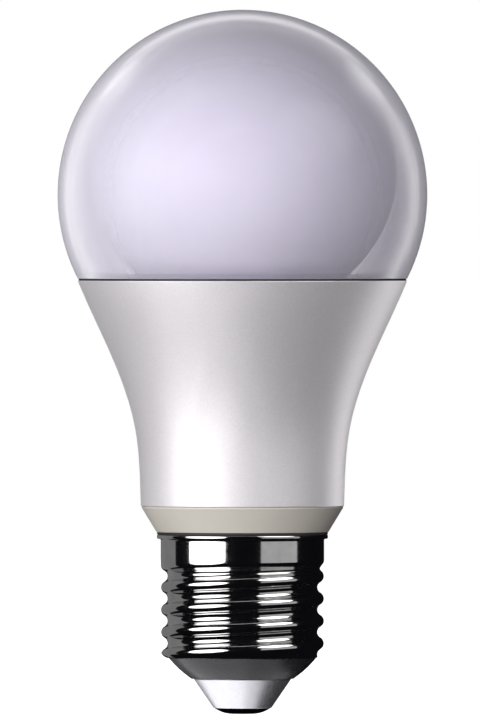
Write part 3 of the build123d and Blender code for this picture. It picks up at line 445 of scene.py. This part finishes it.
LOOKS = {
    "globe_clear": clear_globe(),
    "diffuser_opal": opal_dome(),
    "housing_pearl": pearl_housing(),
    "seal_rubber": moulded("seal_rubber", (0.022, 0.021, 0.025), 0.55, depth=0.01 * MM),
    "collar_beige": moulded(
        "collar_beige", (0.58, 0.55, 0.49), 0.38, 0.18 * MM, 0.006 * MM, Coat_Weight=0.1
    ),
    "shell_nickel": nickel_shell(),
    "insulator_black": black_glass(),
    "contact_bright": plated("contact_bright", (0.88, 0.87, 0.93), 0.36, 0.2 * MM, stretch=(1, 1, 0.3)),
    # painted shade: the nail's metal is coloured near black for the dark surroundings it mirrors
    "nail_dark": plated("nail_dark", (0.075, 0.075, 0.085), 0.32, 0.25 * MM),
    "sink_aluminium": plated("sink_aluminium", (0.70, 0.71, 0.72), 0.34, stretch=(1, 1, 0.2)),
    "pad_grey": moulded("pad_grey", (0.40, 0.41, 0.43), 0.7, 0.3 * MM, 0.03 * MM),
    "board_white": moulded(
        "board_white", (0.82, 0.82, 0.80), 0.35, 0.5 * MM, 0.006 * MM, Coat_Weight=0.2
    ),
    "board_green": circuit("board_green", (0.012, 0.10, 0.045), (0.10, 0.20, 0.08)),
    "led_white": moulded("led_white", (0.80, 0.80, 0.78), 0.4, 0.1 * MM),
    "phosphor": moulded("phosphor", (0.85, 0.62, 0.10), 0.3, 0.12 * MM, 0.015 * MM, Coat_Weight=0.6),
    "lens_clear": moulded("lens_clear", (0.72, 0.74, 0.78), 0.1, 0.4 * MM, 0.004 * MM, Coat_Weight=0.8),
    "screw_steel": plated("screw_steel", (0.58, 0.58, 0.60), 0.28),
    "plastic_black": moulded("plastic_black", (0.02, 0.02, 0.022), 0.5, 0.12 * MM, 0.012 * MM),
    "plastic_white": moulded("plastic_white", (0.76, 0.76, 0.73), 0.42, 0.2 * MM),
    "pin_gold": plated("pin_gold", (0.86, 0.62, 0.24), 0.2, 0.08 * MM),
    "tinned": plated("tinned", (0.66, 0.66, 0.67), 0.3, 0.1 * MM),
    "copper_wire": wound("copper_wire", (0.55, 0.20, 0.07), 0.28 * MM, metallic=0.7),
    "ferrite": moulded("ferrite", (0.04, 0.04, 0.043), 0.55, 0.15 * MM, 0.02 * MM),
    "tape_yellow": wound("tape_yellow", (0.72, 0.54, 0.06), 1.6 * MM, 0.03 * MM, 0.22),
    "can_sleeve": moulded("can_sleeve", (0.02, 0.028, 0.06), 0.22, 0.8 * MM, 0.01 * MM, Coat_Weight=0.5),
    "ceramic_blue": moulded(
        "ceramic_blue", (0.02, 0.09, 0.32), 0.28, 0.9 * MM, 0.05 * MM, Coat_Weight=0.4
    ),
    "box_red": moulded("box_red", (0.40, 0.03, 0.02), 0.3, 0.4 * MM, Coat_Weight=0.3),
    "resistor_green": wound("resistor_green", (0.06, 0.24, 0.14), 2.1 * MM, 0.02 * MM, 0.45),
    "passive_tan": moulded("passive_tan", (0.42, 0.31, 0.19), 0.4, 0.2 * MM),
    "shield_tin": plated("shield_tin", (0.64, 0.65, 0.66), 0.25, 0.3 * MM),
    "lead_red": moulded("lead_red", (0.42, 0.015, 0.012), 0.4, 0.2 * MM),
    "lead_white": moulded("lead_white", (0.76, 0.76, 0.74), 0.4, 0.2 * MM),
}


# ================================================================ the pieces
def make_globe():
    """The clear shell: a sphere cut below its equator, with a spigot and a snap bead."""
    outer_radius = globe_radius - GLOBE_EASE
    inner_radius = globe_radius - GLOBE_WALL
    spigot = seam_radius - HOUSING_WALL
    bore = spigot - SPIGOT_WALL
    snap_z = seam_z - SNAP_BELOW_SEAM
    start = -asin((globe_centre_z - seam_z) / outer_radius) * 180 / pi
    inner_start = -asin((globe_centre_z - seam_z - 0.8 * MM) / inner_radius) * 180 / pi
    centre = (0, globe_centre_z)
    outline = arc(centre, outer_radius, start, 90, 80)
    outline += arc(centre, inner_radius, 90, inner_start, 80)
    outline += [
        (bore, seam_z),
        (bore, seam_z - SPIGOT_DEPTH),
        (spigot, seam_z - SPIGOT_DEPTH),
        (spigot, snap_z - SNAP_SIZE),
        (spigot + SNAP_SIZE, snap_z),
        (spigot, snap_z + SNAP_SIZE),
        (spigot, seam_z),
    ]
    outline = [(0.0 if r < 1e-6 else r, z) for r, z in outline]
    lathe("globe_shell", outline, LOOKS["globe_clear"], "globe_clear", "outer_globe")


def make_dome():
    """The opal dome on its neck, with a foot and three screw ears."""
    board_z = board_box[1][2]
    centre_z = globe_centre_z + DOME_LIFT
    half_height = dome_box[1][2] - centre_z
    neck = DOME_RADIUS * sqrt(1 - ((centre_z - seam_z) / half_height) ** 2)
    foot_top = board_z + DOME_FOOT

    def shell_curve(shrink, steps=64):
        across, up = DOME_RADIUS - shrink, half_height - shrink
        start = -acos((neck - shrink) / across)
        turns = [start + (pi / 2 - start) * n / steps for n in range(steps + 1)]
        return [(across * cos(t), centre_z + up * sin(t)) for t in turns[:-1]] + [(0.0, centre_z + up)]

    outline = shell_curve(0) + shell_curve(DOME_WALL)[::-1]
    outline += [
        (neck - DOME_WALL, board_z),
        (neck + DOME_FOOT, board_z),
        (neck + DOME_FOOT, foot_top),
        (neck, foot_top),
    ]
    verts, faces = turned(rounded(outline, 0.2 * MM))
    circle = neck + 2.5 * MM
    sink = SCREW_HEAD_RADIUS - SCREW_RADIUS
    ear = [
        (SCREW_RADIUS, board_z),
        (EAR_RADIUS, board_z),
        (EAR_RADIUS, foot_top),
        (SCREW_HEAD_RADIUS, foot_top),
        (SCREW_RADIUS, foot_top - sink),
    ]
    for angle in (60, 180, 300):
        spot = (circle * cos(radians(angle)), circle * sin(radians(angle)))
        ear_verts, ear_faces = turned(rounded(ear, 0.15 * MM), spot, 48)
        faces += [[corner + len(verts) for corner in face] for face in ear_faces]
        verts += ear_verts
    piece = finish_mesh("opal_dome", verts, faces, LOOKS["diffuser_opal"])
    place(piece, "diffuser_opal", "inner_diffuser")


def make_housing():
    """The flared shell, with a rounded lip at its rim and the rabbet that holds the globe."""
    flare = seam_radius - NECK_RADIUS
    height = rim_z - neck_z
    knots = [
        (NECK_RADIUS, neck_z),
        (NECK_RADIUS + 0.103 * flare, neck_z + 0.363 * height),
        (NECK_RADIUS + 0.517 * flare, neck_z + 0.699 * height),
        (seam_radius, rim_z),
    ]
    outside = smooth_curve(knots, 0.03, 0.40, 96)
    rabbet = seam_radius - HOUSING_WALL + FIT
    rabbet_foot = board_box[1][2]
    inside = [(r - HOUSING_WALL, z) for r, z in outside if z < rabbet_foot - 0.3 * MM]
    edge = inside[-1][0] + 0.3 * MM * 0.4
    outline = outside + [(rabbet, rim_z), (rabbet, rabbet_foot), (edge, rabbet_foot)] + inside[::-1]
    lathe("flared_housing", outline, LOOKS["housing_pearl"], "housing_pearl", "housing", corner=0.55 * MM)


def make_seam_ring():
    """A thin near-black ring in the seam between globe and housing."""
    low, high = seal_box[0][2], seal_box[1][2]
    inner = seam_radius - HOUSING_WALL + FIT
    outer = seal_box[1][0]
    outline = [(inner, low), (outer, low), (outer, high), (inner, high)]
    lathe("seam_seal", outline, LOOKS["seal_rubber"], "seal_rubber", "globe_seal", corner=0.1 * MM)


def make_collar():
    """The warm grey cone with its two spigots, as one ring without the slot for the neutral lead."""
    top = collar_box[1][2]
    foot = collar_box[0][2]
    shoulder = SKIRT_FOOT_Z + 1.1 * MM
    sleeve_radius = sleeve_box[1][0] + FIT
    outline = [
        (SPIGOT_BORE, foot),
        (11.7 * MM, foot),
        (11.7 * MM, SKIRT_FOOT_Z),
        (12.8 * MM, shoulder),
        (12.8 * MM, collar_foot_z),
        (COLLAR_FOOT_RADIUS, collar_foot_z),
        (NECK_RADIUS, neck_z),
        (NECK_RADIUS - HOUSING_WALL - FIT, neck_z),
        (NECK_RADIUS - HOUSING_WALL - FIT, top),
        (sleeve_radius, top),
        (sleeve_radius, sleeve_box[0][2]),
        (SPIGOT_BORE, sleeve_box[0][2]),
    ]
    lathe("collar_cone", outline, LOOKS["collar_beige"], "collar_beige", "base_collar", corner=0.22 * MM)


def make_gasket():
    """The thin black ring on the flange."""
    low, high = gasket_box[0][2], gasket_box[1][2]
    inner = SKIRT_RADIUS - SHELL_WALL
    outline = [(inner, low), (FLANGE_RADIUS, low), (FLANGE_RADIUS, high), (inner, high)]
    lathe("cap_ring", outline, LOOKS["seal_rubber"], "seal_rubber", "cap_gasket", corner=0.15 * MM)


def ease(value):
    """Smooth step from 0 to 1."""
    t = min(1.0, max(0.0, value))
    return t * t * (3 - 2 * t)


def thread_radius(turn, z):
    """Outside radius of the rolled thread: arcs at crest and root, fading out at both ends."""
    depth = CREST_RADIUS - ROOT_RADIUS
    quarter = THREAD_PITCH / 4
    arc_radius = (quarter**2 + (depth / 2) ** 2) / depth
    phase = (z - CREST_AT_RIGHT) / THREAD_PITCH - turn / (2 * pi)
    away = abs(phase - round(phase)) * THREAD_PITCH
    if away < quarter:
        radius = CREST_RADIUS - arc_radius + sqrt(arc_radius**2 - away**2)
    else:
        radius = ROOT_RADIUS + arc_radius - sqrt(arc_radius**2 - (2 * quarter - away) ** 2)
    groove = 1 - ease((z - 22.9 * MM) / (2.0 * MM))
    radius = SKIRT_RADIUS - groove * (SKIRT_RADIUS - radius)
    ridge = ease((z - 8.6 * MM) / (1.3 * MM))
    return ROOT_RADIUS + ridge * (radius - ROOT_RADIUS)


def make_shell():
    """The threaded shell: one wall, rolled into the thread, with a skirt and a flange."""
    segments = 256
    thread_top = 25.2 * MM
    rows = 150
    lip = 0.12 * MM
    heights = [shell_foot_z + lip + (thread_top - shell_foot_z - lip) * n / rows for n in range(rows + 1)]
    top = [
        (SKIRT_RADIUS, SHELL_TOP_FOOT_Z),
        (SKIRT_RADIUS, FLANGE_FOOT_Z),
        (FLANGE_RADIUS, FLANGE_FOOT_Z),
        (FLANGE_RADIUS, flange_top_z),
        (SKIRT_RADIUS - SHELL_WALL, flange_top_z),
        (SKIRT_RADIUS - SHELL_WALL, SHELL_TOP_FOOT_Z),
    ]
    top = [point for point in rounded(top, 0.28 * MM) if point[1] > 27 * MM]
    verts = []
    for n in range(segments):
        turn = 2 * pi * n / segments
        outer = [(thread_radius(turn, z), z) for z in heights]
        inner = [(r - SHELL_WALL, z) for r, z in outer[::-2]]
        foot_r = thread_radius(turn, shell_foot_z)
        closing = [(foot_r - SHELL_WALL * 0.8, shell_foot_z), (foot_r - lip, shell_foot_z)]
        column = outer + top + inner + closing
        verts += [(r * cos(turn), r * sin(turn), z) for r, z in column]
    height = len(verts) // segments
    faces = []
    for n in range(segments):
        m = (n + 1) % segments
        for k in range(height):
            up = (k + 1) % height
            faces.append((n * height + k, m * height + k, m * height + up, n * height + up))
    piece = finish_mesh("threaded_shell", verts, faces, LOOKS["shell_nickel"], sharp=50)
    place(piece, "shell_nickel", "screw_shell")


def make_insulator():
    """The black cone, with a fine step below the shell and a plug inside it."""
    top = insulator_box[1][2]
    edge = ROOT_RADIUS - 0.15 * MM
    height = shell_foot_z - contact_top_z
    slope = []
    for n in range(CONE_STEPS + 1):
        t = n / CONE_STEPS
        bulge = CONE_BULGE * sin(pi * t)
        radius = CONE_FOOT_RADIUS + (edge - CONE_FOOT_RADIUS) * t + bulge
        slope.append((radius, contact_top_z + height * t - bulge))
    outline = [(BORE_RADIUS, contact_top_z)] + slope + [
        (PLUG_RADIUS, shell_foot_z - 0.01 * MM),
        (PLUG_RADIUS, top),
        (10.5 * MM, top),
        (8.9 * MM, top - DISH_DEPTH),
        (BORE_RADIUS, top - DISH_DEPTH),
    ]
    material = LOOKS["insulator_black"]
    lathe("insulator_cone", outline, material, "insulator_black", "cap_insulator", corner=0.1 * MM)


def make_contact():
    """The bright cone and the dark domed nail in its foot; the nail's near-black colour is painted shade
    for the dark it mirrors.
    """
    top, foot = contact_top_z, contact_foot_z
    cup = [
        (BORE_RADIUS, foot),
        (4.7 * MM, foot),
        (7.95 * MM, top),
        (7.5 * MM, top),
        (4.25 * MM, foot + CUP_WALL),
        (BORE_RADIUS, foot + CUP_WALL),
    ]
    lathe("contact_cone", cup, LOOKS["contact_bright"], "contact_bright", "contact_cup", corner=0.18 * MM)
    reach = 4.6 * MM - NOSE_RADIUS
    bend = (reach**2 + foot**2) / (2 * foot)
    end = -90 + asin(reach / bend) * 180 / pi
    tip = nail_box[1][2]
    nail = [(0.0, 0.0)] + arc((NOSE_RADIUS, bend), bend, -90, end, 16)
    nail += [(SHANK_RADIUS, foot), (SHANK_RADIUS, tip), (0.0, tip)]
    lathe("nail_head", nail, LOOKS["nail_dark"], "nail_dark", "contact_nail", corner=0.1 * MM)


make_globe()
make_dome()
make_housing()
make_seam_ring()
make_collar()
make_gasket()
make_shell()
make_insulator()
make_contact()

# ---------------------------------------------------------------- finishes of the nodes that stay
for subpart in frame["record"]["subparts"]:
    node = frame["nodes"][subpart["node"]]
    slots = node.material_slots
    for slot in slots:
        slot.material = LOOKS[subpart["material_slot"]]
    if not slots:
        node.data.materials.append(LOOKS[subpart["material_slot"]])


# ================================================================ studio
def softbox(name, location, rotation, width, height, radiance, soft=False, lit=(), shape="RECTANGLE"):
    """A flat light: a soft one only fills in, others are only mirrored; lit is what it is kept to."""
    light = bpy.data.lights.new(name, "AREA")
    light.shape = shape
    light.size, light.size_y = width, height
    light.energy = radiance * pi * width * height
    holder = bpy.data.objects.new(name, light)
    holder.location = location
    holder.rotation_euler = rotation
    holder.visible_camera = False
    holder.visible_glossy = not soft
    holder.visible_diffuse = soft
    bpy.context.scene.collection.objects.link(holder)
    if lit:
        flagged = bpy.data.collections.new(name + "_lit")
        for piece in lit:
            flagged.objects.link(bpy.data.objects[piece])
        holder.light_linking.receiver_collection = flagged


def panel(
    name, azimuth, distance, half_angle, low, high, radiance, soft=False, lit=(), shape="RECTANGLE"
):
    """An upright softbox that faces the lamp's axis; azimuth 0 is towards the camera, + is right."""
    turn = radians(azimuth)
    spot = (distance * sin(turn), -distance * cos(turn), (low + high) / 2)
    width = 2 * distance * tan(radians(half_angle))
    softbox(name, spot, (pi / 2, 0, turn), width, high - low, radiance, soft, lit, shape)


# the pieces that some of the lights are kept to
BODY = ("flared_housing",)
GLOBE = ("globe_shell",)
FOOT = ("insulator_cone", "contact_cone")

panel("key_left", -52, 0.60, 31, -0.14, 0.44, 2.0, shape="ELLIPSE")
panel("key_low", -48, 0.60, 32, -0.50, -0.12, 1.2, lit=BODY)
panel("key_wide", -16, 0.60, 12, -0.50, 0.0, 0.8, lit=BODY)
panel("right_high", 54.5, 0.60, 31, 0.26, 0.95, 2.6, shape="ELLIPSE")
panel("right_level", 54.5, 0.60, 28.5, -0.10, 0.24, 0.45)
panel("side_left", -138, 0.60, 29, -0.3, 0.5, 0.2)
panel("edge_right", 130, 0.50, 13, -0.40, 0.40, 1.9, lit=BODY)
panel("rim_right", 132, 0.50, 8, -0.45, 0.50, 4.2, lit=GLOBE)
panel("rim_left", -134, 0.50, 10, -0.45, 0.50, 2.8, lit=GLOBE)
softbox("rim_top", (0, 0.39, 0.39), (-0.907, 0, 0), 0.8, 0.12, 3.2, lit=GLOBE)
softbox("low_left", (-0.26, 0.05, -0.25), (pi, 0, 0), 0.56, 0.7, 1.2, lit=FOOT)
softbox("low_middle", (0.09, 0.05, -0.25), (pi, 0, 0), 0.14, 0.7, 0.75, lit=FOOT)
panel("soft_front", -8, 0.70, 24, -0.15, 0.50, 3.9, soft=True)
panel("soft_left", -62, 0.60, 20, -0.3, 0.4, 2.4, soft=True)
panel("soft_right", 140, 0.60, 20, 0.0, 0.5, 0.8, soft=True)
panel("soft_back", -165, 0.70, 30, 0.0, 0.5, 0.9, soft=True)

world = bpy.data.worlds.new("studio")
bpy.context.scene.world = world
world.use_nodes = True
background = world.node_tree.nodes["Background"]
paths = world.node_tree.nodes.new("ShaderNodeLightPath")


def world_mix(factor, first, second):
    """Chooses between two colours, or a socket and a colour, by the kind of ray."""
    node = world.node_tree.nodes.new("ShaderNodeMix")
    node.data_type = "RGBA"
    if isinstance(first, tuple):
        node.inputs["A"].default_value = first
    else:
        world.node_tree.links.new(first, node.inputs["A"])
    node.inputs["B"].default_value = second
    world.node_tree.links.new(paths.outputs[factor], node.inputs["Factor"])
    return node.outputs["Result"]


room = world_mix("Is Diffuse Ray", (0.004, 0.004, 0.005, 1), (0.15, 0.145, 0.155, 1))
world.node_tree.links.new(world_mix("Is Camera Ray", room, (1, 1, 1, 1)), background.inputs["Color"])


def make_floor():
    """A plain pale floor under the lamp's contact, for the camera only."""
    s = Shader("floor_pale", Roughness=0.8)
    s.colour(s.blend(s.noise(0.08), (0.93, 0.93, 0.93), (0.95, 0.95, 0.95)))
    s.body.inputs["Emission Color"].default_value = (1, 1, 1, 1)
    s.body.inputs["Emission Strength"].default_value = 1.0
    half = 1.5
    low = cad_bounds[0][2] - 0.0003
    verts = [(-half, -half, low), (half, -half, low), (half, half, low), (-half, half, low)]
    floor = finish_mesh("floor", verts, [(0, 1, 2, 3)], s.material)
    floor.visible_glossy = False
    floor.visible_diffuse = False
    floor.visible_shadow = False


make_floor()

# ---------------------------------------------------------------- camera
LENS = 1000.0
SENSOR = 36.0
FRAME_HEIGHT = 116.8 * MM  # of the picture, at the lamp
aim = Vector((-0.4 * MM, 0, 57.4 * MM))
elevation = radians(0.4)
camera_data = bpy.data.cameras.new("camera")
camera_data.lens = LENS
camera_data.sensor_width = SENSOR
camera_data.clip_end = 20.0
distance = FRAME_HEIGHT * LENS / SENSOR
camera = bpy.data.objects.new("camera", camera_data)
camera.location = aim + Vector((0, -distance * cos(elevation), distance * sin(elevation)))
camera.rotation_euler = (pi / 2 - elevation, 0, 0)
bpy.context.scene.collection.objects.link(camera)
bpy.context.scene.camera = camera

bpy.context.scene.view_settings.view_transform = "Standard"
